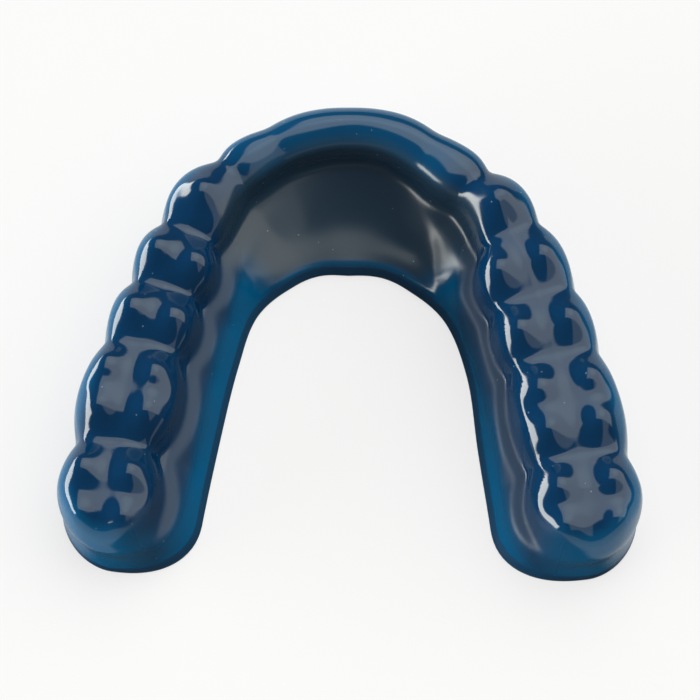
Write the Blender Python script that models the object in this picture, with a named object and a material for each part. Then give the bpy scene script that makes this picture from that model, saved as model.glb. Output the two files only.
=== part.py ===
"""Custom mouthguard for an upper arch: one sheet of soft blue plastic, formed over teeth and trimmed.

The guard lies on its trimmed edge with the biting side up, centred on the origin. +Y is the front of
the mouth and +Z is up. Lengths are in metres.

The guard is described by its sections. The arch line runs along the middle of the biting surface, and
a section goes down from it on each side: over the shoulder of the tooth bump, down the wall, round the
fold, along the flange to the trimmed edge, and back up along the fitting face. Round each end of the
arch line the sections fan out.
"""

from collections import namedtuple

import bmesh
import bpy
import numpy as np

# The arch line, seen from above
ARCH_FRONT = 0.0245
ARCH_DEPTH = 0.0405
ARCH_HALF_WIDTH = 0.0249
ARCH_ROUND_SHARE = 0.46
SECTION_CHORD = 0.006

# One tooth bump. width: along the arch line. height: of its top. fall: from there to its shoulders. Then
# from the arch line, outer: to the widest place of its outer wall, shoulder: to its palatal shoulder,
# fold: to the palatal fold, reach: to the palatal edge. fold_height: of that fold. gum: rise of the gum
# ridge beside it. groove and palatal_groove: depth of the grooves on its front side, in both walls.
Tooth = namedtuple(
    "Tooth", "form width height fall outer shoulder fold fold_height gum reach groove palatal_groove"
)

LEFT_TEETH = [
    Tooth("incisor", 0.0086, 0.0123, 0.0014, 0.0030, 0.0026, 0.0029, 0.0064, -0.0009, 0.0140, 0.0001, 0.0000),
    Tooth("incisor", 0.0060, 0.0121, 0.0013, 0.0032, 0.0026, 0.0030, 0.0063, -0.0009, 0.0130, 0.0003, 0.0001),
    Tooth("canine", 0.0086, 0.0125, 0.0009, 0.0044, 0.0031, 0.0036, 0.0061, -0.0005, 0.0116, 0.0010, 0.0003),
    Tooth("premolar", 0.0070, 0.0119, 0.0006, 0.0047, 0.0046, 0.0050, 0.0058, 0.0001, 0.0095, 0.0014, 0.0010),
    Tooth("premolar", 0.0071, 0.0117, 0.0006, 0.0052, 0.0046, 0.0051, 0.0056, 0.0004, 0.0094, 0.0013, 0.0014),
    Tooth("molar", 0.0113, 0.0117, 0.0006, 0.0064, 0.0047, 0.0053, 0.0055, 0.0005, 0.0094, 0.0010, 0.0012),
    Tooth("molar", 0.0124, 0.0114, 0.0008, 0.0069, 0.0042, 0.0050, 0.0053, 0.0004, 0.0091, 0.0016, 0.0019),
]
RIGHT_TEETH = [
    Tooth("incisor", 0.0091, 0.0123, 0.0014, 0.0030, 0.0026, 0.0029, 0.0064, -0.0009, 0.0140, 0.0001, 0.0000),
    Tooth("incisor", 0.0070, 0.0121, 0.0013, 0.0029, 0.0036, 0.0040, 0.0063, -0.0009, 0.0130, 0.0003, 0.0001),
    Tooth("canine", 0.0073, 0.0125, 0.0009, 0.0041, 0.0030, 0.0035, 0.0061, -0.0005, 0.0116, 0.0011, 0.0003),
    Tooth("premolar", 0.0080, 0.0119, 0.0006, 0.0049, 0.0057, 0.0060, 0.0058, 0.0001, 0.0094, 0.0010, 0.0010),
    Tooth("premolar", 0.0072, 0.0117, 0.0006, 0.0054, 0.0057, 0.0060, 0.0056, 0.0004, 0.0090, 0.0008, 0.0009),
    Tooth("molar", 0.0116, 0.0117, 0.0006, 0.0063, 0.0056, 0.0060, 0.0055, 0.0005, 0.0097, 0.0008, 0.0009),
    Tooth("molar", 0.0110, 0.0114, 0.0008, 0.0068, 0.0058, 0.0062, 0.0053, 0.0004, 0.0099, 0.0011, 0.0011),
]

# Cusps of each form of tooth: place along the arch and across it (outwards), each from -1 to 1
CUSPS = {
    "incisor": [],
    "canine": [(0.0, 0.1)],
    "premolar": [(0.0, 0.55), (0.0, -0.55)],
    "molar": [(-0.45, 0.55), (0.45, 0.55), (-0.4, -0.5), (0.45, -0.5)],
}
CUSP_SPREAD = 0.0019
CUSP_OUTSIDE = 0.0010
CUSP_INSIDE = 0.0013

# The tooth bumps. The crown is where their gentle top ends, as shares of the way and fall to the shoulder
BUMP_POWER = 2.2
GROOVE_SOFTNESS = 0.22
GROOVE_DIP = 0.8
GROOVE_AT_WIDEST = 0.7
GROOVE_AT_EDGE = 0.3
GROOVE_INSIDE = 0.0007
NARROWEST_POCKET = 0.0004
CROWN_PLACE = 0.45
CROWN_FALL = 0.18
SHOULDER_ROUNDING = 0.0026
PALATAL_ROUNDING = 0.0019
OUTER_LEAN = 0.0006
WIDEST_HEIGHT = 0.60
GUM_LINE_HEIGHT = 0.36
GUM_LINE_DENT = 0.0004
EDGE_INSET = 0.0002
FOLD_ROUNDING = 0.0012

# The rounded ends: they start in front of the middle of the last molar
END_START = 0.0015
END_EDGE = 0.0072
END_FOLD = 0.0060
END_SHOULDER = 0.0056
END_OUTER_SQUARENESS = 1.9
END_PALATAL_SQUARENESS = 2.3

# The flange over the palate
GUM_WIDTH = 0.0016
GUM_SHARE = 0.55
GUM_ROUNDING = 0.0016
FRONT_SAG = 0.0006
FRONT_SAG_END = 0.0250
FRONT_SAG_FADE = 0.0120

# The sheet and its trimmed edge
TOP_WALL = 0.0026
SIDE_WALL = 0.0021
PALATAL_WALL = 0.0018
EDGE_WIDTH = 0.0021
CUT_WIDTH = 0.0009
CUT_HEIGHT = 0.0018
EDGE_ROUNDING = 0.00035
CUT_ROUNDING = 0.0005

# Fineness of the surface
SECTION_STEP = 0.0019
END_SECTIONS = 13
ROUNDING_STEPS = 3

BLUE = (0.004, 0.045, 0.150, 1.0)
ROUGHNESS = 0.12


def clear_scene():
    for obj in list(bpy.data.objects):
        bpy.data.objects.remove(obj)


def smooth_step(share):
    share = np.clip(share, 0.0, 1.0)
    return share * share * (3.0 - 2.0 * share)


def smooth_max(first, second, blend):
    """The larger of two values, rounded where they cross."""
    share = np.maximum(blend - np.abs(first - second), 0.0) / blend
    return np.maximum(first, second) + share * share * blend / 4.0


class Arch:
    """The arch line measured along its own length, from 0 at the front, negative to the left."""

    def __init__(self):
        self.x = np.linspace(-1.3 * ARCH_HALF_WIDTH, 1.3 * ARCH_HALF_WIDTH, 6001)
        share = self.x / ARCH_HALF_WIDTH
        drop = ARCH_ROUND_SHARE * share**2 + (1.0 - ARCH_ROUND_SHARE) * share**6
        self.y = ARCH_FRONT - ARCH_DEPTH * drop
        steps = np.hypot(np.diff(self.x), np.diff(self.y))
        length = np.concatenate([[0.0], np.cumsum(steps)])
        self.s = length - np.interp(0.0, self.x, length)

    def point(self, s):
        return np.interp(s, self.s, self.x), np.interp(s, self.s, self.y)

    def tangent(self, s):
        """Direction along the arch towards the right, taken over a chord."""
        x0, y0 = self.point(s - SECTION_CHORD / 2.0)
        x1, y1 = self.point(s + SECTION_CHORD / 2.0)
        length = np.hypot(x1 - x0, y1 - y0)
        return (x1 - x0) / length, (y1 - y0) / length


class Teeth:
    """The fourteen tooth bumps placed side by side along the arch line."""

    def __init__(self):
        self.row = LEFT_TEETH[::-1] + RIGHT_TEETH
        widths = np.array([tooth.width for tooth in self.row])
        start = -sum(tooth.width for tooth in LEFT_TEETH)
        self.borders = start + np.concatenate([[0.0], np.cumsum(widths)])
        self.halves = widths / 2.0
        self.centres = (self.borders[1:] + self.borders[:-1]) / 2.0

    def value(self, name, s):
        """A size of the tooth bumps at any place on the arch line, passing smoothly from tooth to tooth."""
        values = np.array([getattr(tooth, name) for tooth in self.row])
        slopes = np.gradient(values, self.centres)
        i = np.clip(np.searchsorted(self.centres, s) - 1, 0, len(values) - 2)
        gap = self.centres[i + 1] - self.centres[i]
        t = np.clip((s - self.centres[i]) / gap, 0.0, 1.0)
        return (
            values[i] * (1.0 + 2.0 * t) * (1.0 - t) ** 2
            + values[i + 1] * (3.0 - 2.0 * t) * t**2
            + gap * (slopes[i] * t * (1.0 - t) ** 2 - slopes[i + 1] * (1.0 - t) * t**2)
        )

    def bump(self, s):
        """1 over the middle of a tooth, 0 in the groove between two teeth."""
        hills = 1.0 - (np.abs(s[:, None] - self.centres) / self.halves) ** BUMP_POWER
        best = hills[:, 0]
        for i in range(1, hills.shape[1]):
            best = smooth_max(best, hills[:, i], GROOVE_SOFTNESS)
        return best

    def groove(self, name, s):
        """Depth of the grooves between the teeth at any place on the arch line."""
        left = [getattr(tooth, name) for tooth in LEFT_TEETH[::-1]]
        right = [getattr(tooth, name) for tooth in RIGHT_TEETH[1:]]
        depths = [left[0]] + left + right + [right[-1]]
        return np.interp(s, self.borders, depths) * (1.0 - self.bump(s))

    def cusps(self, arch, x, y):
        """Where the cusps are, seen from above: 1 on a tip."""
        hills = np.zeros(x.shape)
        for tooth, s, half in zip(self.row, self.centres, self.halves):
            px, py = arch.point(s)
            tx, ty = arch.tangent(s)
            outer = tooth.outer - OUTER_LEAN
            for along, across in CUSPS[tooth.form]:
                u = along * half
                v = (outer - tooth.shoulder) / 2.0 + across * (outer + tooth.shoulder) / 2.0
                cx, cy = px + tx * u - ty * v, py + ty * u + tx * v
                hills += np.exp(-((x - cx) ** 2 + (y - cy) ** 2) / CUSP_SPREAD**2)
        return hills


def rounded_end(turn, across, along):
    """Distance from the end of the arch line to a rounded outline. Turn 0 points outwards across the arch."""
    n = np.where(turn < np.pi / 2.0, END_OUTER_SQUARENESS, END_PALATAL_SQUARENESS)
    return (np.abs(np.cos(turn) / across) ** n + np.abs(np.sin(turn) / along) ** n) ** (-1.0 / n)


class Sections:
    """All sections, one after another round the guard."""

    def __init__(self, step, end_sections, rounding_steps):
        self.arch, self.teeth = Arch(), Teeth()
        self.rounding_steps = rounding_steps
        stops = self.teeth.borders.copy()
        stops[0] = self.teeth.centres[0] + END_START
        stops[-1] = self.teeth.centres[-1] - END_START
        stations = [stops[0]]
        for start, end in zip(stops, stops[1:]):
            count = 2 * max(2, round((end - start) / step / 2.0))
            stations.extend(np.linspace(start, end, count + 1)[1:])
        count = len(stations)
        turns = np.linspace(0.0, np.pi, end_sections + 2)[1:-1]
        ends = np.ones(end_sections)
        self.s = np.concatenate([stations, stations[-1] * ends, stations[::-1], stations[0] * ends])
        self.turn = np.concatenate([np.zeros(count), turns, np.full(count, np.pi), turns[::-1]])
        station = np.concatenate([np.arange(count), (count - 1) * ends, np.arange(count)[::-1], 0 * ends])
        self.station = station.astype(int)
        self.palatal = smooth_step((self.turn / np.pi - 0.50) / 0.38)
        tx, ty = self.arch.tangent(self.s)
        right = np.where(self.s > 0.0, 1.0, -1.0)
        cos, sin = np.cos(self.turn), np.sin(self.turn) * right
        self.x, self.y = self.arch.point(self.s)
        self.dx = -ty * cos + tx * sin
        self.dy = tx * cos + ty * sin

    def place(self, outside, palatal, end):
        """Distance from the arch line for outer and palatal sections, rounded over for the end sections."""
        side = np.where(self.turn < np.pi / 2.0, outside, palatal)
        return rounded_end(self.turn, side, end)

    def outer_corners(self):
        """Corners of every section on its outer face: distance from the arch line, and height."""
        teeth, s, palatal = self.teeth, self.s, self.palatal
        outer_groove = teeth.groove("groove", s)
        palatal_groove = teeth.groove("palatal_groove", s)
        zero = 0.0 * s
        top = teeth.value("height", s) - GROOVE_DIP * outer_groove
        shoulder_z = top - teeth.value("fall", s)
        fold_z = teeth.value("fold_height", s) + 0.3 * palatal_groove
        outer, reach = teeth.value("outer", s), teeth.value("reach", s)
        shoulder = self.place(
            outer - OUTER_LEAN - outer_groove, teeth.value("shoulder", s) - palatal_groove, END_SHOULDER
        )
        edge = self.place(outer - EDGE_INSET - GROOVE_AT_EDGE * outer_groove, reach, END_EDGE)
        fold = self.place(outer, teeth.value("fold", s) - palatal_groove, END_FOLD)
        widest = self.place(outer - GROOVE_AT_WIDEST * outer_groove, reach, END_EDGE - EDGE_INSET)
        cut = edge - CUT_WIDTH
        gum = fold + np.minimum(GUM_WIDTH, GUM_SHARE * (cut - fold))
        gum_z = fold_z + teeth.value("gum", s)
        gum_line = (widest + edge) / 2.0 - GUM_LINE_DENT
        plain_cut = edge + (gum_line - edge) * CUT_HEIGHT / (GUM_LINE_HEIGHT * top)

        def blend(plain, over_palate):
            return plain + (over_palate - plain) * palatal

        return [
            (zero, top),
            (shoulder, shoulder_z),
            (blend(widest, fold), blend(WIDEST_HEIGHT * top, fold_z)),
            (blend(gum_line, gum), blend(GUM_LINE_HEIGHT * top, gum_z)),
            (blend(plain_cut, cut), zero + CUT_HEIGHT),
            (edge, zero),
        ]

    def inner_corners(self, corners):
        """The same corners on the fitting face: every line is moved in by the thickness of the sheet."""
        side = SIDE_WALL + (PALATAL_WALL - SIDE_WALL) * self.palatal
        groove = GROOVE_INSIDE * (1.0 - self.teeth.bump(self.s))
        lines = [corners[0], corners[1], corners[2], corners[4]]
        normals = []
        for (r0, z0), (r1, z1) in zip(lines, lines[1:]):
            length = np.hypot(r1 - r0, z1 - z0)
            normals.append(((z0 - z1) / length, (r1 - r0) / length))
        inner = [(corners[0][0], corners[0][1] - TOP_WALL)]
        for k, wall in ((1, (TOP_WALL + side) / 2.0), (2, side)):
            (ar, az), (br, bz) = normals[k - 1], normals[k]
            share = wall / (1.0 + ar * br + az * bz)
            r = lines[k][0] - share * (ar + br) - groove
            z = lines[k][1] - share * (az + bz)
            inner.append((smooth_max(r, NARROWEST_POCKET, NARROWEST_POCKET), z))
        edge, zero = corners[-1]
        inner.append((edge - EDGE_WIDTH, zero))
        return inner

    def lines(self):
        """Every section as a line of points: from the arch line out to the edge, and back up inside."""
        steps = self.rounding_steps
        crest, shoulder, fold, gum, cut, edge = self.outer_corners()
        inside = self.inner_corners([crest, shoulder, fold, gum, cut, edge])
        inner_crest, inner_shoulder, inner_fold, inner_edge = inside
        shoulder_rounding = SHOULDER_ROUNDING + (PALATAL_ROUNDING - SHOULDER_ROUNDING) * self.palatal
        sag = self.palatal * FRONT_SAG * smooth_step((FRONT_SAG_END - np.abs(self.s)) / FRONT_SAG_FADE)
        crown = CROWN_PLACE * shoulder[0], crest[1] - CROWN_FALL * (crest[1] - shoulder[1])
        # Each corner, its rounding and the steps of it, the points on the straight before it and their sag
        path = [
            (crest, 0.0, 1, 0, 0.0),
            (crown, SHOULDER_ROUNDING, steps - 1, 0, 0.0),
            (shoulder, shoulder_rounding, steps, 1, 0.0),
            (fold, FOLD_ROUNDING, steps, 1, 0.0),
            (gum, GUM_ROUNDING, steps, 0, 0.0),
            (cut, CUT_ROUNDING, 1, 3, sag),
            (edge, EDGE_ROUNDING, 1, 0, 0.0),
            (inner_edge, EDGE_ROUNDING, 1, 0, 0.0),
            (inner_fold, FOLD_ROUNDING, steps - 1, 3, -sag),
            (inner_shoulder, shoulder_rounding / 2.0, steps - 1, 1, 0.0),
            (inner_crest, 0.0, 1, 1, 0.0),
        ]
        line = [crest]
        for k in range(1, len(path)):
            (r, z), rounding, turns, between, drop = path[k]
            back_r, back_z = path[k - 1][0]
            on_r, on_z = path[k + 1][0] if k < len(path) - 1 else (r, z)
            before = np.hypot(r - back_r, z - back_z)
            after = np.hypot(on_r - r, on_z - z) if k < len(path) - 1 else before
            cut_off = np.minimum(rounding, 0.45 * np.minimum(before, after))
            start_r, start_z = r + (back_r - r) * cut_off / before, z + (back_z - z) * cut_off / before
            end_r, end_z = r + (on_r - r) * cut_off / after, z + (on_z - z) * cut_off / after
            last_r, last_z = line[-1]
            run_r, run_z = start_r - last_r, start_z - last_z
            length = np.hypot(run_r, run_z)
            for i in range(1, between + 1):
                share = i / (between + 1)
                sink = 4.0 * share * (1.0 - share) * drop / length
                line.append((last_r + run_r * share + run_z * sink, last_z + run_z * share - run_r * sink))
            if k == len(path) - 1:
                line.append((r, z))
                break
            for i in range(turns + 1):
                share = i / turns
                a, b, c = (1.0 - share) ** 2, 2.0 * share * (1.0 - share), share**2
                line.append((a * start_r + b * r + c * end_r, a * start_z + b * z + c * end_z))
        return np.array([r for r, z in line]), np.array([z for r, z in line])

    def points(self):
        """All points of the guard, ring by ring: the first ring is the crest, the last its fitting face."""
        r, z = self.lines()
        x, y = self.x + self.dx * r, self.y + self.dy * r
        crown = smooth_step((z / z.max(axis=0) - 0.50) / 0.25)
        rim = int(np.argmax(r[:, 0]))
        inside = (np.arange(len(z)) > rim)[:, None]
        cusp = np.where(inside, CUSP_INSIDE, CUSP_OUTSIDE)
        z = z + crown * cusp * self.teeth.cusps(self.arch, x, y)
        x = x - (x.min() + x.max()) / 2.0
        y = y - (y.min() + y.max()) / 2.0
        return np.stack([x, y, z - z.min()], axis=-1)


def build_guard(sections):
    points = sections.points()
    bm = bmesh.new()
    rings = []
    for row, ring in enumerate(points):
        if row in (0, len(points) - 1):
            crest = {}
            for station, point in zip(sections.station, ring):
                if station not in crest:
                    crest[station] = bm.verts.new(point)
            rings.append([crest[station] for station in sections.station])
        else:
            rings.append([bm.verts.new(point) for point in ring])
    for upper, lower in zip(rings, rings[1:]):
        for i in range(len(upper)):
            j = (i + 1) % len(upper)
            bm.faces.new(list(dict.fromkeys([upper[i], lower[i], lower[j], upper[j]])))
    bmesh.ops.recalc_face_normals(bm, faces=bm.faces)
    mesh = bpy.data.meshes.new("mouthguard")
    bm.to_mesh(mesh)
    bm.free()
    return mesh


def guard_material():
    material = bpy.data.materials.new("translucent_blue_sheet")
    material.use_nodes = True
    shader = material.node_tree.nodes["Principled BSDF"]
    shader.inputs["Base Color"].default_value = BLUE
    shader.inputs["Roughness"].default_value = ROUGHNESS
    return material


def main():
    clear_scene()
    mesh = build_guard(Sections(SECTION_STEP, END_SECTIONS, ROUNDING_STEPS))
    mesh.shade_smooth()
    mesh.materials.append(guard_material())
    guard = bpy.data.objects.new("mouthguard", mesh)
    bpy.context.scene.collection.objects.link(guard)


main()
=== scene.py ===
"""Custom mouthguard, one sheet of glossy dark blue plastic formed over the teeth of an upper arch.

The sheet is laid out by the same sections as the part's solid, at a finer step, with softened bends.
+Y is the front of the mouth and +Z is up. Lengths are in metres.
"""

import math
from collections import namedtuple

import bmesh
import bpy
import numpy as np
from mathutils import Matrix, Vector, noise


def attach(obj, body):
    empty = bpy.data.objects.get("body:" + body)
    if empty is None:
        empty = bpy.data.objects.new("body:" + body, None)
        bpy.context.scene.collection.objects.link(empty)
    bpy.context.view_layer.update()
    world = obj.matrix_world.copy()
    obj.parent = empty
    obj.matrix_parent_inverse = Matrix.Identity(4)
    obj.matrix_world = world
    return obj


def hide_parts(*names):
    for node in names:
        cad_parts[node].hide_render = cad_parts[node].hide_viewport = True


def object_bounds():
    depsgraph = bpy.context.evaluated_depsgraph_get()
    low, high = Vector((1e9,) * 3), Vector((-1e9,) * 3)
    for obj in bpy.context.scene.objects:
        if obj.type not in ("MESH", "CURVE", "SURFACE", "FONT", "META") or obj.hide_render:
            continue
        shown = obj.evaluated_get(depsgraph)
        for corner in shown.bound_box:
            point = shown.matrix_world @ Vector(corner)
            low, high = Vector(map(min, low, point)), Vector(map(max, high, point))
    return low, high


# The arch line, seen from above
ARCH_FRONT = 0.0245
ARCH_DEPTH = 0.0405
ARCH_HALF_WIDTH = 0.0249
ARCH_ROUND_SHARE = 0.46
ARCH_POINTS = 6001
ARCH_OVERHANG = 1.3
SECTION_CHORD = 0.006

# One tooth bump. width: along the arch line. height: of its top. fall: from there to its shoulders. Then
# from the arch line, outer: to the widest place of its outer wall, shoulder: to its palatal shoulder,
# fold: to the palatal fold, reach: to the palatal edge. fold_height: of that fold. gum: rise of the gum
# ridge beside it. groove and palatal_groove: depth of the grooves on its front side, in both walls.
Tooth = namedtuple(
    "Tooth", "form width height fall outer shoulder fold fold_height gum reach groove palatal_groove"
)

LEFT_TEETH = [
    Tooth("incisor", 0.0086, 0.0123, 0.0014, 0.0030, 0.0026, 0.0029, 0.0064, -0.0009, 0.0140, 0.0001, 0.0000),
    Tooth("incisor", 0.0060, 0.0121, 0.0013, 0.0032, 0.0026, 0.0030, 0.0063, -0.0009, 0.0130, 0.0003, 0.0001),
    Tooth("canine", 0.0086, 0.0125, 0.0009, 0.0044, 0.0031, 0.0036, 0.0061, -0.0005, 0.0116, 0.0010, 0.0003),
    Tooth("premolar", 0.0070, 0.0119, 0.0006, 0.0047, 0.0046, 0.0050, 0.0058, 0.0001, 0.0095, 0.0014, 0.0010),
    Tooth("premolar", 0.0071, 0.0117, 0.0006, 0.0052, 0.0046, 0.0051, 0.0056, 0.0004, 0.0094, 0.0013, 0.0014),
    Tooth("molar", 0.0113, 0.0117, 0.0006, 0.0064, 0.0047, 0.0053, 0.0055, 0.0005, 0.0094, 0.0010, 0.0012),
    Tooth("molar", 0.0124, 0.0114, 0.0008, 0.0069, 0.0042, 0.0050, 0.0053, 0.0004, 0.0091, 0.0016, 0.0019),
]
RIGHT_TEETH = [
    Tooth("incisor", 0.0091, 0.0123, 0.0014, 0.0030, 0.0026, 0.0029, 0.0064, -0.0009, 0.0140, 0.0001, 0.0000),
    Tooth("incisor", 0.0070, 0.0121, 0.0013, 0.0029, 0.0036, 0.0040, 0.0063, -0.0009, 0.0130, 0.0003, 0.0001),
    Tooth("canine", 0.0073, 0.0125, 0.0009, 0.0041, 0.0030, 0.0035, 0.0061, -0.0005, 0.0116, 0.0011, 0.0003),
    Tooth("premolar", 0.0080, 0.0119, 0.0006, 0.0049, 0.0057, 0.0060, 0.0058, 0.0001, 0.0094, 0.0010, 0.0010),
    Tooth("premolar", 0.0072, 0.0117, 0.0006, 0.0054, 0.0057, 0.0060, 0.0056, 0.0004, 0.0090, 0.0008, 0.0009),
    Tooth("molar", 0.0116, 0.0117, 0.0006, 0.0063, 0.0056, 0.0060, 0.0055, 0.0005, 0.0097, 0.0008, 0.0009),
    Tooth("molar", 0.0110, 0.0114, 0.0008, 0.0068, 0.0058, 0.0062, 0.0053, 0.0004, 0.0099, 0.0011, 0.0011),
]

# Cusps of each form of tooth: place along the arch and across it (outwards), each from -1 to 1. They grow
# out of the upper part of the crown, given as shares of its height.
CUSPS = {
    "incisor": [],
    "canine": [(0.0, 0.1)],
    "premolar": [(0.0, 0.55), (0.0, -0.55)],
    "molar": [(-0.45, 0.55), (0.45, 0.55), (-0.4, -0.5), (0.45, -0.5)],
}
CUSP_SPREAD = 0.0019
CUSP_OUTSIDE = 0.0010
CUSP_INSIDE = 0.0013
CUSP_FROM = 0.50
CUSP_FADE = 0.25

# The tooth bumps. The crown is where their gentle top ends, as shares of the way and fall to the shoulder
BUMP_POWER = 2.2
GROOVE_SOFTNESS = 0.22
GROOVE_DIP = 0.8
GROOVE_AT_WIDEST = 0.7
GROOVE_AT_EDGE = 0.3
GROOVE_INSIDE = 0.0007
NARROWEST_POCKET = 0.0004
CROWN_PLACE = 0.45
CROWN_FALL = 0.18
SHOULDER_ROUNDING = 0.0026
PALATAL_ROUNDING = 0.0019
OUTER_LEAN = 0.0006
WIDEST_HEIGHT = 0.60
GUM_LINE_HEIGHT = 0.36
GUM_LINE_DENT = 0.0004
EDGE_INSET = 0.0002
FOLD_ROUNDING = 0.0012
FOLD_RISE = 0.3

# The rounded ends: they start in front of the middle of the last molar. On the way round an end, from 0
# outside to 1 over the palate, the sections turn from outer into palatal ones.
END_START = 0.0015
END_EDGE = 0.0072
END_FOLD = 0.0060
END_SHOULDER = 0.0056
END_OUTER_SQUARENESS = 1.9
END_PALATAL_SQUARENESS = 2.3
PALATAL_FROM = 0.50
PALATAL_FADE = 0.38

# The flange over the palate. Its sag behind the front teeth runs inwards and down.
GUM_WIDTH = 0.0016
GUM_SHARE = 0.55
GUM_ROUNDING = 0.0016
FRONT_SAG = 0.0006
FRONT_SAG_END = 0.0250
FRONT_SAG_FADE = 0.0120
FRONT_SAG_IN = 0.6
FRONT_SAG_DOWN = 0.8

# The sheet and its trimmed edge
TOP_WALL = 0.0026
SIDE_WALL = 0.0021
PALATAL_WALL = 0.0018
EDGE_WIDTH = 0.0021
CUT_WIDTH = 0.0009
CUT_HEIGHT = 0.0018
EDGE_ROUNDING = 0.00035

# The crease in the right palatal fold
CREASE_PLACE = 0.0445
CREASE_OFFSET = 0.0056
CREASE_LENGTH = 0.0018
CREASE_WIDTH = 0.0007
CREASE_WAVE = 0.0011
CREASE_HEIGHT = 0.00016
CREASE_SLANT = 0.15

# The step in the right side of the bowl
VAULT_CENTRE = (0.0009, 0.0111)
VAULT_RADIUS = 0.0090
VAULT_STEP = 0.00018
VAULT_WIDTH = 0.00055
VAULT_ANGLE = 0.20
VAULT_SPREAD = 0.55
VAULT_LOWEST = 0.0022
VAULT_FADE = 0.0010

# The waviness of the formed sheet: length and height of the waves, and the height where they begin
WAVES = ((0.0052, 0.000120), (0.0030, 0.000012))
WAVES_FROM = 0.0060

# Where the form differs a little from the solid: the cusps stand out more, the gum scallops are eased along
# the legs, and the last molars, left and right, fall away towards the back
CUSP_RISE = 1.3
GUM_EASED = 0.82
GUM_EASED_FROM = 0.0200
GUM_EASED_FADE = 0.0070
BACK_FALLS = (0.15, 0.05)
BACK_START = 0.0030
BACK_REACH = 0.0110
BACK_FADE = 0.0030
BACK_SOFTNESS = 0.0030

# Fineness of the surface. A rounding takes up at most a share of the shorter line beside its corner.
SECTION_STEP = 0.00042
END_SECTIONS = 41
ROUNDING_POINTS = 9
ROUNDING_LIMIT = 0.48
OUTER_POINTS = 86
RIM_POINTS = 14
INNER_POINTS = 44
SOFTNESS = 0.00042
EDGE_SOFTNESS = 0.00008
SMOOTHING_ROUNDS = 4
SMOOTHING_FACTOR = 0.5
SMOOTHED_FROM = 0.0016
SMALLEST_STEP = 1e-9

# The share of the solid's box that the sheet may fill
BOX_SHARE = 0.9995

# Where the painted shade and the painted light lie on the sheet, and where its gloss is soft. The painted
# shade darkens the bowl where little light comes through the sheet; the painted light lightens places where
# light would pass through thin sheet. The front is told by the way along the arch line. The lengths before or
# past the palatal shoulder, the fold, the outer wall and the palatal edge lie across it.
FRONT_END = 0.0265
FRONT_FADE = 0.0080
SHOULDER_LEAD = 0.0004
SHOULDER_LEAD_FRONT = 0.0011
BOWL_FADE = 0.0012
PAINTED_SHADE_ON_LEGS = 0.15
PAINTED_SHADE_LOST_AT_RIM = 0.6
FLANGE_START = 0.0010
FLANGE_FADE = 0.0018
FLANGE_PAINTED_LIGHT = 0.85
RIM_WIDTH = 0.0018
RIM_FADE = 0.0010
RIM_PAINTED_LIGHT = 0.60
RIDGE_END = 0.0165
RIDGE_END_FADE = 0.0060
RIDGE_FROM = 0.80
RIDGE_FADE = 0.12
RIDGE_PAINTED_LIGHT = 0.30
WALL_DEPTH = 0.0026
WALL_FADE = 0.0022
GUM_SOFT_FADE = 0.0006
GUM_SOFT_LOST_IN_FRONT = 0.7
BOWL_SOFTNESS = 0.35
# On the fitting face: a fixed painted shade, painted light and softness of gloss
PAINTED_SHADE_INSIDE = 0.3
PAINTED_LIGHT_INSIDE = 0.2
SOFT_INSIDE = 0.5

# The sheet: its colour over the tooth bumps, a painted shade where little light would come through it and a
# painted light where light would pass through thin sheet, then its gloss
BUMP_BLUE = (0.0006, 0.0255, 0.0780, 1.0)
PAINTED_SHADE_BLUE = (0.0135, 0.0330, 0.0600, 1.0)
PAINTED_LIGHT_BLUE = (0.0005, 0.0930, 0.2250, 1.0)
ROUGHNESS = 0.08
SOFT_ROUGHNESS = 0.56
SHEET_IOR = 1.49

# Specks of dust and tiny bubbles. The core is the part of a speck that has its full colour.
SPECK_SPACING = 0.0015
SPECK_SIZE = 0.00011
SPECK_CORE = 0.4
SPECKS_KEPT = 0.5
SPECK_COLOUR = (0.14, 0.20, 0.24, 1.0)

# The floor as the light sees it, and as the gloss of the sheet shows it: dark in the oval that the guard
# lies in, lighter beside it
FLOOR_SIZE = 3.0
FLOOR_ROUGHNESS = 0.9
FLOOR_LIGHT = (0.46, 0.46, 0.46)
FLOOR_IN_GLOSS = (0.07, 0.08, 0.08)
FLOOR_BESIDE = (0.60, 0.60, 0.62)
OVAL_MIDDLE = (0.0, -0.0200)
OVAL_HALF = (0.0300, 0.0460)
OVAL_SOFTNESS = 0.05

# The floor as the camera sees it: its own colour in that light, and what is added to make it white
FLOOR_SEEN = (0.240, 0.232, 0.244)
FLOOR_GLOW = 0.664

# The camera
CAMERA_TARGET = (0.00005, -0.00081, 0.0040)
CAMERA_DISTANCE = 0.350
CAMERA_ELEVATION = 70.0
PICTURE_WIDTH = 0.0778
SENSOR = 36.0
NEAREST_SEEN = 0.01

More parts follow.
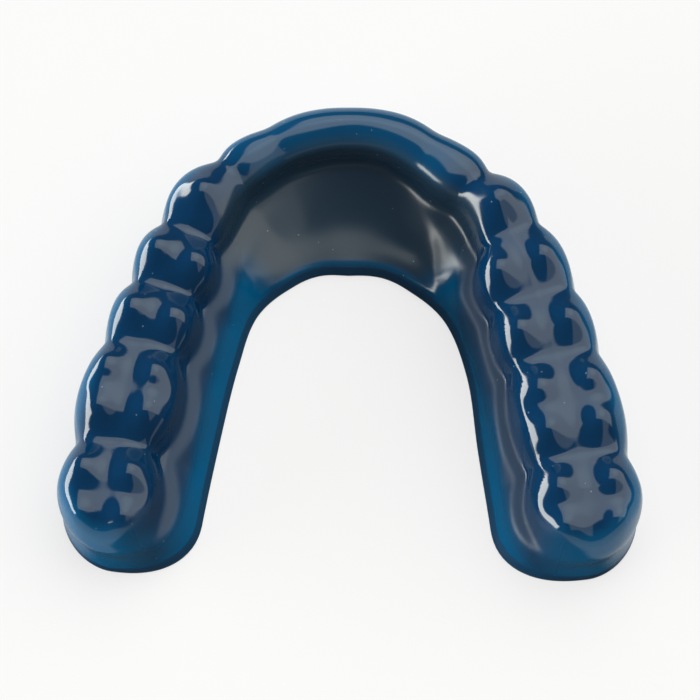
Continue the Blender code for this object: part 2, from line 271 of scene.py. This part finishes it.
# The room: its own light and the panels. A panel is a colour and the borders that all its directions lie
# within. A border is a direction, the least share of it, and the softness of the border. The top glow is
# a round, softer light in the top panel.
ROOM = (0.10, 0.10, 0.11)
TOP_PANEL = (
    (1.95, 1.96, 1.76),
    [
        ((0.190, 0.971, 0.145), -0.07, 0.05),
        ((0.0, -0.470, 0.883), 0.0, 0.06),
        ((0.905, 0.0, 0.425), 0.0, 0.05),
        ((0.0, 0.0, 1.0), 0.25, 0.05),
    ],
)
TOP_GLOW = ((0.55, 0.75, 0.75), [((0.250, 0.450, 0.857), 0.93, 0.07)])
RIGHT_PANEL = (
    (0.80, 0.82, 0.76),
    [
        ((0.930, 0.300, -0.200), 0.0, 0.03),
        ((-0.190, -0.971, -0.145), 0.07, 0.05),
        ((0.0, 0.0, 1.0), 0.40, 0.03),
    ],
)
LEFT_STRIP = (
    (11.5, 11.6, 10.8),
    [
        ((0.0, 0.0, 1.0), 0.0, 0.02),
        ((0.0, -0.485, -0.874), -0.420, 0.03),
        ((0.0, 0.0, -1.0), -0.34, 0.02),
        ((0.0, 1.0, 0.0), -0.57, 0.05),
        ((-1.0, 0.0, 0.0), 0.45, 0.05),
    ],
)


def smooth_step(share):
    """From 0 to 1 as the share does, but level at both ends."""
    share = np.clip(share, 0.0, 1.0)
    return share * share * (3.0 - 2.0 * share)


def smooth_max(first, second, blend):
    """The larger of two values, rounded where they cross."""
    share = np.maximum(blend - np.abs(first - second), 0.0) / blend
    return np.maximum(first, second) + share * share * blend / 4.0


class Arch:
    """The arch line measured along its own length, from 0 at the front, negative to the left."""

    def __init__(self):
        end = ARCH_OVERHANG * ARCH_HALF_WIDTH
        self.x = np.linspace(-end, end, ARCH_POINTS)
        share = self.x / ARCH_HALF_WIDTH
        drop = ARCH_ROUND_SHARE * share**2 + (1.0 - ARCH_ROUND_SHARE) * share**6
        self.y = ARCH_FRONT - ARCH_DEPTH * drop
        steps = np.hypot(np.diff(self.x), np.diff(self.y))
        length = np.concatenate([[0.0], np.cumsum(steps)])
        self.s = length - np.interp(0.0, self.x, length)

    def point(self, s):
        return np.interp(s, self.s, self.x), np.interp(s, self.s, self.y)

    def tangent(self, s):
        """Direction along the arch towards the right, taken over a chord."""
        x0, y0 = self.point(s - SECTION_CHORD / 2.0)
        x1, y1 = self.point(s + SECTION_CHORD / 2.0)
        length = np.hypot(x1 - x0, y1 - y0)
        return (x1 - x0) / length, (y1 - y0) / length


class Teeth:
    """The fourteen tooth bumps placed side by side along the arch line."""

    def __init__(self):
        self.row = LEFT_TEETH[::-1] + RIGHT_TEETH
        widths = np.array([tooth.width for tooth in self.row])
        start = -sum(tooth.width for tooth in LEFT_TEETH)
        self.borders = start + np.concatenate([[0.0], np.cumsum(widths)])
        self.halves = widths / 2.0
        self.centres = (self.borders[1:] + self.borders[:-1]) / 2.0

    def value(self, name, s):
        """A size of the tooth bumps at any place on the arch line, passing smoothly from tooth to tooth."""
        values = np.array([getattr(tooth, name) for tooth in self.row])
        slopes = np.gradient(values, self.centres)
        i = np.clip(np.searchsorted(self.centres, s) - 1, 0, len(values) - 2)
        gap = self.centres[i + 1] - self.centres[i]
        t = np.clip((s - self.centres[i]) / gap, 0.0, 1.0)
        return (
            values[i] * (1.0 + 2.0 * t) * (1.0 - t) ** 2
            + values[i + 1] * (3.0 - 2.0 * t) * t**2
            + gap * (slopes[i] * t * (1.0 - t) ** 2 - slopes[i + 1] * (1.0 - t) * t**2)
        )

    def bump(self, s):
        """1 over the middle of a tooth, 0 in the groove between two teeth."""
        hills = 1.0 - (np.abs(s[:, None] - self.centres) / self.halves) ** BUMP_POWER
        best = hills[:, 0]
        for i in range(1, hills.shape[1]):
            best = smooth_max(best, hills[:, i], GROOVE_SOFTNESS)
        return best

    def groove(self, name, s):
        """Depth of the grooves between the teeth at any place on the arch line."""
        left = [getattr(tooth, name) for tooth in LEFT_TEETH[::-1]]
        right = [getattr(tooth, name) for tooth in RIGHT_TEETH[1:]]
        depths = [left[0]] + left + right + [right[-1]]
        return np.interp(s, self.borders, depths) * (1.0 - self.bump(s))

    def cusps(self, arch, x, y):
        """Where the cusps are, seen from above: 1 on a tip."""
        hills = np.zeros(x.shape)
        for tooth, s, half in zip(self.row, self.centres, self.halves):
            px, py = arch.point(s)
            tx, ty = arch.tangent(s)
            outer = tooth.outer - OUTER_LEAN
            for along, across in CUSPS[tooth.form]:
                u = along * half
                v = (outer - tooth.shoulder) / 2.0 + across * (outer + tooth.shoulder) / 2.0
                cx, cy = px + tx * u - ty * v, py + ty * u + tx * v
                hills += np.exp(-((x - cx) ** 2 + (y - cy) ** 2) / CUSP_SPREAD**2)
        return hills


def rounded_end(turn, across, along):
    """Distance from the end of the arch line to a rounded outline. Turn 0 points outwards across the arch."""
    n = np.where(turn < np.pi / 2.0, END_OUTER_SQUARENESS, END_PALATAL_SQUARENESS)
    return (np.abs(np.cos(turn) / across) ** n + np.abs(np.sin(turn) / along) ** n) ** (-1.0 / n)


class Sections:
    """All sections, one after another round the guard."""

    def __init__(self, step, end_sections):
        self.arch, self.teeth = Arch(), Teeth()
        stops = self.teeth.borders.copy()
        stops[0] = self.teeth.centres[0] + END_START
        stops[-1] = self.teeth.centres[-1] - END_START
        stations = [stops[0]]
        for start, end in zip(stops, stops[1:]):
            count = 2 * max(2, round((end - start) / step / 2.0))
            stations.extend(np.linspace(start, end, count + 1)[1:])
        count = len(stations)
        turns = np.linspace(0.0, np.pi, end_sections + 2)[1:-1]
        ends = np.ones(end_sections)
        self.s = np.concatenate([stations, stations[-1] * ends, stations[::-1], stations[0] * ends])
        self.turn = np.concatenate([np.zeros(count), turns, np.full(count, np.pi), turns[::-1]])
        station = np.concatenate([np.arange(count), (count - 1) * ends, np.arange(count)[::-1], 0 * ends])
        self.station = station.astype(int)
        self.palatal = smooth_step((self.turn / np.pi - PALATAL_FROM) / PALATAL_FADE)
        tx, ty = self.arch.tangent(self.s)
        right = np.where(self.s > 0.0, 1.0, -1.0)
        cos, sin = np.cos(self.turn), np.sin(self.turn) * right
        self.x, self.y = self.arch.point(self.s)
        self.dx = -ty * cos + tx * sin
        self.dy = tx * cos + ty * sin

    def place(self, outside, palatal, end):
        """Distance from the arch line for outer and palatal sections, rounded over for the end sections."""
        side = np.where(self.turn < np.pi / 2.0, outside, palatal)
        return rounded_end(self.turn, side, end)

    def outer_corners(self):
        """Corners of every section on its outer face: distance from the arch line, and height."""
        teeth, s, palatal = self.teeth, self.s, self.palatal
        outer_groove = teeth.groove("groove", s)
        palatal_groove = teeth.groove("palatal_groove", s)
        zero = 0.0 * s
        top = teeth.value("height", s) - GROOVE_DIP * outer_groove
        shoulder_z = top - teeth.value("fall", s)
        fold_z = teeth.value("fold_height", s) + FOLD_RISE * palatal_groove
        outer, reach = teeth.value("outer", s), teeth.value("reach", s)
        shoulder = self.place(
            outer - OUTER_LEAN - outer_groove, teeth.value("shoulder", s) - palatal_groove, END_SHOULDER
        )
        edge = self.place(outer - EDGE_INSET - GROOVE_AT_EDGE * outer_groove, reach, END_EDGE)
        fold = self.place(outer, teeth.value("fold", s) - palatal_groove, END_FOLD)
        widest = self.place(outer - GROOVE_AT_WIDEST * outer_groove, reach, END_EDGE - EDGE_INSET)
        cut = edge - CUT_WIDTH
        gum = fold + np.minimum(GUM_WIDTH, GUM_SHARE * (cut - fold))
        gum_z = fold_z + self.gum_share() * teeth.value("gum", s)
        gum_line = (widest + edge) / 2.0 - GUM_LINE_DENT
        plain_cut = edge + (gum_line - edge) * CUT_HEIGHT / (GUM_LINE_HEIGHT * top)

        def blend(plain, over_palate):
            return plain + (over_palate - plain) * palatal

        return [
            (zero, top),
            (shoulder, shoulder_z),
            (blend(widest, fold), blend(WIDEST_HEIGHT * top, fold_z)),
            (blend(gum_line, gum), blend(GUM_LINE_HEIGHT * top, gum_z)),
            (blend(plain_cut, cut), zero + CUT_HEIGHT),
            (edge, zero),
        ]

    def inner_corners(self, corners):
        """The same corners on the fitting face: every line is moved in by the thickness of the sheet."""
        side = SIDE_WALL + (PALATAL_WALL - SIDE_WALL) * self.palatal
        groove = GROOVE_INSIDE * (1.0 - self.teeth.bump(self.s))
        lines = [corners[0], corners[1], corners[2], corners[4]]
        normals = []
        for (r0, z0), (r1, z1) in zip(lines, lines[1:]):
            length = np.hypot(r1 - r0, z1 - z0)
            normals.append(((z0 - z1) / length, (r1 - r0) / length))
        inner = [(corners[0][0], corners[0][1] - TOP_WALL)]
        for k, wall in ((1, (TOP_WALL + side) / 2.0), (2, side)):
            (ar, az), (br, bz) = normals[k - 1], normals[k]
            share = wall / (1.0 + ar * br + az * bz)
            r = lines[k][0] - share * (ar + br) - groove
            z = lines[k][1] - share * (az + bz)
            inner.append((smooth_max(r, NARROWEST_POCKET, NARROWEST_POCKET), z))
        edge, zero = corners[-1]
        inner.append((edge - EDGE_WIDTH, zero))
        return inner

    def gum_share(self):
        """The gum scallops stand out less on the legs than in the solid."""
        legs = smooth_step((np.abs(self.s) - GUM_EASED_FROM) / GUM_EASED_FADE)
        return 1.0 - GUM_EASED * legs

    def corner_line(self, corners, roundings):
        """A line over some corners of every section, each of them rounded."""
        line = [corners[0]]
        for k in range(1, len(corners) - 1):
            (back_r, back_z), (r, z), (on_r, on_z) = corners[k - 1], corners[k], corners[k + 1]
            before = np.hypot(r - back_r, z - back_z)
            after = np.hypot(on_r - r, on_z - z)
            cut_off = np.minimum(roundings[k], ROUNDING_LIMIT * np.minimum(before, after))
            start_r = r + (back_r - r) * cut_off / before
            start_z = z + (back_z - z) * cut_off / before
            end_r = r + (on_r - r) * cut_off / after
            end_z = z + (on_z - z) * cut_off / after
            for share in np.linspace(0.0, 1.0, ROUNDING_POINTS):
                a, b, c = (1.0 - share) ** 2, 2.0 * share * (1.0 - share), share**2
                line.append((a * start_r + b * r + c * end_r, a * start_z + b * z + c * end_z))
        line.append(corners[-1])
        every = 0.0 * self.s
        return np.array([r + every for r, z in line]), np.array([z + every for r, z in line])

    def even_line(self, r, z, count, softness):
        """The same line with its points evenly spaced and its bends softened. Both ends stay."""
        new_r = np.empty((count, r.shape[1]))
        new_z = np.empty((count, r.shape[1]))
        for i in range(r.shape[1]):
            steps = np.hypot(np.diff(r[:, i]), np.diff(z[:, i])) + SMALLEST_STEP
            along = np.concatenate([[0.0], np.cumsum(steps)])
            places = np.linspace(0.0, along[-1], count)
            new_r[:, i] = np.interp(places, along, r[:, i])
            new_z[:, i] = np.interp(places, along, z[:, i])
        spacing = np.hypot(np.diff(new_r, axis=0), np.diff(new_z, axis=0)).mean()
        # Each round adds half a squared spacing to the square of the softening
        rounds = int(2.0 * (softness / spacing) ** 2)
        for values in (new_r, new_z):
            for _ in range(rounds):
                values[1:-1] += SMOOTHING_FACTOR * ((values[:-2] + values[2:]) / 2.0 - values[1:-1])
        return new_r, new_z

    def lines(self):
        """Every section: the outer line from the crest down to the edge, then the inner line back up."""
        corners = self.outer_corners()
        crest, shoulder, fold, gum, cut, edge = corners
        inner_crest, inner_shoulder, inner_fold, inner_edge = self.inner_corners(corners)
        shoulder_rounding = SHOULDER_ROUNDING + (PALATAL_ROUNDING - SHOULDER_ROUNDING) * self.palatal
        sag = self.palatal * FRONT_SAG * smooth_step((FRONT_SAG_END - np.abs(self.s)) / FRONT_SAG_FADE)
        halfway = (
            (gum[0] + cut[0]) / 2.0 - FRONT_SAG_IN * sag,
            (gum[1] + cut[1]) / 2.0 - FRONT_SAG_DOWN * sag,
        )
        crown = (CROWN_PLACE * shoulder[0], crest[1] - CROWN_FALL * (crest[1] - shoulder[1]))
        upper = self.corner_line(
            [crest, crown, shoulder, fold, gum, halfway, cut],
            [0.0, SHOULDER_ROUNDING, shoulder_rounding, FOLD_ROUNDING, GUM_ROUNDING, GUM_ROUNDING, 0.0],
        )
        upper = self.even_line(*upper, OUTER_POINTS, SOFTNESS)
        rim = self.corner_line([cut, edge, inner_edge], [0.0, EDGE_ROUNDING, 0.0])
        rim = self.even_line(*rim, RIM_POINTS, EDGE_SOFTNESS)
        inside = self.corner_line(
            [inner_edge, inner_fold, inner_shoulder, inner_crest],
            [0.0, FOLD_ROUNDING, shoulder_rounding / 2.0, 0.0],
        )
        inside = self.even_line(*inside, INNER_POINTS, SOFTNESS)
        r = np.concatenate([upper[0][:-1], rim[0], inside[0][1:]])
        z = np.concatenate([upper[1][:-1], rim[1], inside[1][1:]])
        return r, z

    def points(self):
        """All points of the sheet, ring by ring: the first ring is the crest, the last its fitting face."""
        r, z = self.lines()
        self.r = r
        x, y = self.x + self.dx * r, self.y + self.dy * r
        crown = smooth_step((z / z.max(axis=0) - CUSP_FROM) / CUSP_FADE)
        inside = (np.arange(len(z)) > OUTER_POINTS)[:, None]
        cusp = np.where(inside, CUSP_INSIDE, CUSP_RISE * CUSP_OUTSIDE)
        z = z + crown * cusp * self.teeth.cusps(self.arch, x, y)
        z = z - crown * self.back_fall(x, y) + self.crease(x, y, z) + self.vault_step(x, y, z)
        return np.stack([x, y, z], axis=-1)

    def back_fall(self, x, y):
        """How far the crowns of the last molars have fallen, from near their middle to the back."""
        fall = 0.0
        for end, towards, share in ((0, -1.0, BACK_FALLS[0]), (-1, 1.0, BACK_FALLS[1])):
            middle = self.teeth.centres[end]
            px, py = self.arch.point(middle)
            tx, ty = self.arch.tangent(middle)
            along = towards * ((x - px) * tx + (y - py) * ty) + BACK_START
            near = smooth_step((BACK_REACH - np.hypot(x - px, y - py)) / BACK_FADE)
            fall = fall + share * smooth_max(along, 0.0, BACK_SOFTNESS) * near
        return fall

    def vault_step(self, x, y, z):
        """The bowl dips a little past an arc on its right side, where the vault of the palate begins."""
        away_x, away_y = x - VAULT_CENTRE[0], y - VAULT_CENTRE[1]
        angle = np.arctan2(away_y, away_x)
        window = np.exp(-(((angle - VAULT_ANGLE) / VAULT_SPREAD) ** 2))
        step = np.tanh((np.hypot(away_x, away_y) - VAULT_RADIUS) / VAULT_WIDTH)
        outside = (np.arange(len(z)) < OUTER_POINTS)[:, None]
        clear = smooth_step((z - VAULT_LOWEST) / VAULT_FADE) * self.palatal
        return np.where(outside, VAULT_STEP * window * step * clear, 0.0)

    def crease(self, x, y, z):
        """Small wrinkles where the sheet gathered in the right palatal fold."""
        px, py = self.arch.point(CREASE_PLACE)
        tx, ty = self.arch.tangent(CREASE_PLACE)
        along = (x - px) * tx + (y - py) * ty
        across = -((x - px) * -ty + (y - py) * tx) - CREASE_OFFSET
        window = np.exp(-((along / CREASE_LENGTH) ** 2) - (across / CREASE_WIDTH) ** 2)
        outside = (np.arange(len(z)) < OUTER_POINTS)[:, None]
        wave = np.sin(2.0 * np.pi * (across + CREASE_SLANT * along) / CREASE_WAVE)
        return np.where(outside, CREASE_HEIGHT * window * wave, 0.0)

    def tones(self, points):
        """How much painted shade and painted light lie on each point of the sheet, and how soft its gloss is,
        each from 0 to 1.
        """
        outside = (np.arange(len(points)) <= OUTER_POINTS)[:, None]
        z, r, palatal = points[..., 2], self.r, self.palatal
        from_front = np.abs(self.s)
        near_shoulder = r - self.teeth.value("shoulder", self.s) + SHOULDER_LEAD
        past_fold = r - self.teeth.value("fold", self.s)
        past_edge = r - self.teeth.value("reach", self.s)
        past_outer = r - self.teeth.value("outer", self.s)
        front = smooth_step((FRONT_END - from_front) / FRONT_FADE)
        bowl = smooth_step((near_shoulder + SHOULDER_LEAD_FRONT * front) / BOWL_FADE) * palatal
        flange = smooth_step((past_fold - FLANGE_START) / FLANGE_FADE) * palatal
        rim = smooth_step((past_edge + RIM_WIDTH) / RIM_FADE) * palatal
        ridge = smooth_step((RIDGE_END - from_front) / RIDGE_END_FADE)
        ridge = ridge * smooth_step((z / z.max(axis=0) - RIDGE_FROM) / RIDGE_FADE)
        wall = smooth_step((past_outer + WALL_DEPTH) / WALL_FADE) * (1.0 - palatal)
        gum = smooth_step(near_shoulder / GUM_SOFT_FADE) * palatal
        # Painted shade: the bowl behind the front teeth is darkened, less so on the legs and near the palatal
        # edge, as if little light came through the sheet there
        painted_shade = bowl * (PAINTED_SHADE_ON_LEGS + (1.0 - PAINTED_SHADE_ON_LEGS) * front)
        painted_shade = painted_shade * (1.0 - flange * (1.0 - front)) * (1.0 - PAINTED_SHADE_LOST_AT_RIM * rim)
        # Painted light: the front ridge, the outer walls, the flange on the legs and the palatal edge are
        # lightened, as light passing through the thin sheet would lighten them
        painted_light = np.maximum(ridge * RIDGE_PAINTED_LIGHT, wall)
        painted_light = np.maximum(painted_light, flange * (1.0 - front) * FLANGE_PAINTED_LIGHT)
        painted_light = np.maximum(painted_light, rim * front * RIM_PAINTED_LIGHT)
        soft = gum * (1.0 - GUM_SOFT_LOST_IN_FRONT * front) * (1.0 - flange)
        soft = np.maximum(soft, bowl * front * BOWL_SOFTNESS)
        return (
            np.where(outside, painted_shade, PAINTED_SHADE_INSIDE),
            np.where(outside, painted_light, PAINTED_LIGHT_INSIDE),
            np.where(outside, soft, SOFT_INSIDE),
        )


def build_sheet(sections):
    """The closed surface through all sections, with what is needed to colour it."""
    points = sections.points()
    bm = bmesh.new()
    # Each point stores its painted shade, its painted light and the softness of its gloss
    layers = [bm.verts.layers.float.new(name) for name in ("painted_shade", "painted_light", "soft")]
    tones = sections.tones(points)
    rings = []
    for row, ring in enumerate(points):
        made = {}
        verts = []
        for i, point in enumerate(ring):
            # On the first and the last ring, facing sections share their point
            key = sections.station[i] if row in (0, len(points) - 1) else -1 - i
            if key not in made:
                made[key] = bm.verts.new(point)
                for layer, tone in zip(layers, tones):
                    made[key][layer] = tone[row, i]
            verts.append(made[key])
        rings.append(verts)
    for upper, lower in zip(rings, rings[1:]):
        for i in range(len(upper)):
            j = (i + 1) % len(upper)
            bm.faces.new(list(dict.fromkeys([upper[i], lower[i], lower[j], upper[j]])))
    for vert in bm.verts:
        rise = smooth_step((vert.co.z - WAVES_FROM) / WAVES_FROM)
        for length, height in WAVES:
            vert.co.z += float(rise) * height * noise.noise(vert.co / length)
    free = [vert for vert in bm.verts if vert.co.z > SMOOTHED_FROM]
    axes = {"use_axis_x": True, "use_axis_y": True, "use_axis_z": True}
    for _ in range(SMOOTHING_ROUNDS):
        bmesh.ops.smooth_vert(bm, verts=free, factor=SMOOTHING_FACTOR, **axes)
    bmesh.ops.recalc_face_normals(bm, faces=bm.faces)
    mesh = bpy.data.meshes.new("guard_sheet")
    bm.to_mesh(mesh)
    bm.free()
    mesh.shade_smooth()
    return mesh


def product(tree, first, second):
    """The product of two shares."""
    times = tree.nodes.new("ShaderNodeMath")
    times.operation = "MULTIPLY"
    tree.links.new(first, times.inputs[0])
    tree.links.new(second, times.inputs[1])
    return times.outputs["Value"]


def layered(tree, colour, layers):
    """A colour with others laid over it, each by its own share."""
    for share, other in layers:
        mix = tree.nodes.new("ShaderNodeMix")
        mix.data_type = "RGBA"
        tree.links.new(share, mix.inputs["Factor"])
        if isinstance(colour, tuple):
            mix.inputs["A"].default_value = colour
        else:
            tree.links.new(colour, mix.inputs["A"])
        mix.inputs["B"].default_value = other
        colour = mix.outputs["Result"]
    return colour


def tone_share(tree, name):
    """A share stored in the mesh by build_sheet: painted shade, painted light or soft gloss."""
    stored = tree.nodes.new("ShaderNodeAttribute")
    stored.attribute_name = name
    return stored.outputs["Fac"]


def speck_share(tree):
    """1 on the few specks of dust and tiny bubbles in the sheet."""
    cells = tree.nodes.new("ShaderNodeTexVoronoi")
    cells.inputs["Scale"].default_value = 1.0 / SPECK_SPACING
    place = tree.nodes.new("ShaderNodeTexCoord")
    tree.links.new(place.outputs["Object"], cells.inputs["Vector"])
    near = tree.nodes.new("ShaderNodeMapRange")
    near.inputs["From Min"].default_value = SPECK_SIZE / SPECK_SPACING
    near.inputs["From Max"].default_value = SPECK_CORE * SPECK_SIZE / SPECK_SPACING
    tree.links.new(cells.outputs["Distance"], near.inputs["Value"])
    chosen = tree.nodes.new("ShaderNodeMath")
    chosen.operation = "GREATER_THAN"
    chosen.inputs[1].default_value = 1.0 - SPECKS_KEPT
    tree.links.new(cells.outputs["Color"], chosen.inputs[0])
    return product(tree, near.outputs["Result"], chosen.outputs["Value"])


def sheet_material():
    """Glossy blue plastic with painted shade and painted light laid over its colour, softer gloss where
    stored, and the specks in it.
    """
    material = bpy.data.materials.new("translucent_blue_sheet")
    material.use_nodes = True
    tree = material.node_tree
    shader = tree.nodes["Principled BSDF"]
    # Painted shade and painted light are laid over the colour of the bumps, then the specks of dust and
    # bubbles
    layers = [
        (tone_share(tree, "painted_shade"), PAINTED_SHADE_BLUE),
        (tone_share(tree, "painted_light"), PAINTED_LIGHT_BLUE),
        (speck_share(tree), SPECK_COLOUR),
    ]
    tree.links.new(layered(tree, BUMP_BLUE, layers), shader.inputs["Base Color"])
    roughness = tree.nodes.new("ShaderNodeMapRange")
    roughness.inputs["To Min"].default_value = ROUGHNESS
    roughness.inputs["To Max"].default_value = SOFT_ROUGHNESS
    tree.links.new(tone_share(tree, "soft"), roughness.inputs["Value"])
    tree.links.new(roughness.outputs["Result"], shader.inputs["Roughness"])
    shader.inputs["IOR"].default_value = SHEET_IOR
    return material


def outside_share(tree, share):
    """A share that counts only beside the arch, outside the oval that the guard lies in."""
    (middle_x, middle_y), (half_x, half_y) = OVAL_MIDDLE, OVAL_HALF
    place = tree.nodes.new("ShaderNodeMapping")
    place.vector_type = "POINT"
    place.inputs["Location"].default_value = (-middle_x / half_x, -middle_y / half_y, 0.0)
    place.inputs["Scale"].default_value = (1.0 / half_x, 1.0 / half_y, 1.0)
    tree.links.new(tree.nodes.new("ShaderNodeNewGeometry").outputs["Position"], place.inputs["Vector"])
    distance = tree.nodes.new("ShaderNodeVectorMath")
    distance.operation = "LENGTH"
    tree.links.new(place.outputs["Vector"], distance.inputs[0])
    step = tree.nodes.new("ShaderNodeMapRange")
    step.interpolation_type = "SMOOTHSTEP"
    step.inputs["From Min"].default_value = 1.0 - OVAL_SOFTNESS
    step.inputs["From Max"].default_value = 1.0 + OVAL_SOFTNESS
    tree.links.new(distance.outputs["Value"], step.inputs["Value"])
    tree.links.new(share, step.inputs["To Max"])
    return step.outputs["Result"]


def make_floor():
    """White paper: full of light for the camera, with the guard's shadow left in it."""
    bpy.ops.mesh.primitive_plane_add(size=FLOOR_SIZE)
    floor = bpy.context.object
    floor.name = "floor"
    material = bpy.data.materials.new("white_paper")
    material.use_nodes = True
    tree = material.node_tree
    shader = tree.nodes["Principled BSDF"]
    rays = tree.nodes.new("ShaderNodeLightPath")
    in_gloss, to_camera = rays.outputs["Is Glossy Ray"], rays.outputs["Is Camera Ray"]
    layers = [
        (in_gloss, (*FLOOR_IN_GLOSS, 1.0)),
        (outside_share(tree, in_gloss), (*FLOOR_BESIDE, 1.0)),
        (to_camera, (*FLOOR_SEEN, 1.0)),
    ]
    tree.links.new(layered(tree, (*FLOOR_LIGHT, 1.0), layers), shader.inputs["Base Color"])
    glow = tree.nodes.new("ShaderNodeMath")
    glow.operation = "MULTIPLY"
    glow.inputs[1].default_value = FLOOR_GLOW
    tree.links.new(to_camera, glow.inputs[0])
    tree.links.new(glow.outputs["Value"], shader.inputs["Emission Strength"])
    shader.inputs["Emission Color"].default_value = (1.0, 1.0, 1.0, 1.0)
    shader.inputs["Roughness"].default_value = FLOOR_ROUGHNESS
    shader.inputs["Specular IOR Level"].default_value = 0.0
    floor.data.materials.append(material)


def sky_share(tree, direction, border):
    """1 on the right side of one border of a panel, 0 on the other side."""
    towards, least, softness = border
    dot = tree.nodes.new("ShaderNodeVectorMath")
    dot.operation = "DOT_PRODUCT"
    dot.inputs[1].default_value = towards
    tree.links.new(direction, dot.inputs[0])
    step = tree.nodes.new("ShaderNodeMapRange")
    step.interpolation_type = "SMOOTHSTEP"
    step.inputs["From Min"].default_value = least - softness
    step.inputs["From Max"].default_value = least + softness
    tree.links.new(dot.outputs["Value"], step.inputs["Value"])
    return step.outputs["Result"]


def make_world():
    """The room around the guard, which its gloss shows."""
    world = bpy.data.worlds.new("room")
    world.use_nodes = True
    tree = world.node_tree
    background = tree.nodes["Background"]
    direction = tree.nodes.new("ShaderNodeTexCoord").outputs["Generated"]
    total = None
    for colour, borders in (TOP_PANEL, TOP_GLOW, RIGHT_PANEL, LEFT_STRIP):
        share = sky_share(tree, direction, borders[0])
        for border in borders[1:]:
            share = product(tree, share, sky_share(tree, direction, border))
        light = tree.nodes.new("ShaderNodeVectorMath")
        light.operation = "SCALE"
        light.inputs[0].default_value = colour
        tree.links.new(share, light.inputs["Scale"])
        layer = tree.nodes.new("ShaderNodeVectorMath")
        layer.operation = "ADD"
        if total is None:
            layer.inputs[0].default_value = ROOM
        else:
            tree.links.new(total, layer.inputs[0])
        tree.links.new(light.outputs["Vector"], layer.inputs[1])
        total = layer.outputs["Vector"]
    tree.links.new(total, background.inputs["Color"])
    bpy.context.scene.world = world


def make_camera():
    """Looks down on the biting side from behind the molars."""
    data = bpy.data.cameras.new("camera")
    camera = bpy.data.objects.new("camera", data)
    bpy.context.scene.collection.objects.link(camera)
    tilt = math.radians(CAMERA_ELEVATION)
    back = Vector((0.0, -math.cos(tilt), math.sin(tilt)))
    camera.location = Vector(CAMERA_TARGET) + back * CAMERA_DISTANCE
    camera.rotation_euler = (-back).to_track_quat("-Z", "Y").to_euler()
    data.sensor_width = SENSOR
    data.lens = SENSOR * CAMERA_DISTANCE / PICTURE_WIDTH
    data.clip_start = NEAREST_SEEN
    bpy.context.scene.camera = camera


def centre_on(obj, box):
    """Moves the points of an object so that it is centred in the box, and a hair smaller than it."""
    corners = np.array([list(corner) for corner in box])
    points = np.empty(len(obj.data.vertices) * 3)
    obj.data.vertices.foreach_get("co", points)
    points = points.reshape(-1, 3)
    low, high = points.min(axis=0), points.max(axis=0)
    size = np.minimum((corners[1] - corners[0]) / (high - low), 1.0) * BOX_SHARE
    middle = (low + high) / 2.0
    base = np.array([middle[0], middle[1], low[2]])
    goal = np.array([*(corners[0, :2] + corners[1, :2]) / 2.0, corners[0, 2]])
    obj.data.vertices.foreach_set("co", ((points - base) * size + goal).ravel())
    obj.data.update()


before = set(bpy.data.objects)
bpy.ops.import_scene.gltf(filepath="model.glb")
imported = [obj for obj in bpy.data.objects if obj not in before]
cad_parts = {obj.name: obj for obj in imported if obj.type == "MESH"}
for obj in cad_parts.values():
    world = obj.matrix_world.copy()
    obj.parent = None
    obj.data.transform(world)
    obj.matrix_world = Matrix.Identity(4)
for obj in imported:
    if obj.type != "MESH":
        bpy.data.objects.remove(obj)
cad_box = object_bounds()
sheet = bpy.data.objects.new("guard_sheet", build_sheet(Sections(SECTION_STEP, END_SECTIONS)))
bpy.context.scene.collection.objects.link(sheet)
centre_on(sheet, cad_box)
sheet.data.materials.append(sheet_material())
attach(sheet, "root")
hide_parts("mouthguard")
make_floor()
make_world()
make_camera()
bpy.context.scene.view_settings.view_transform = "Standard"
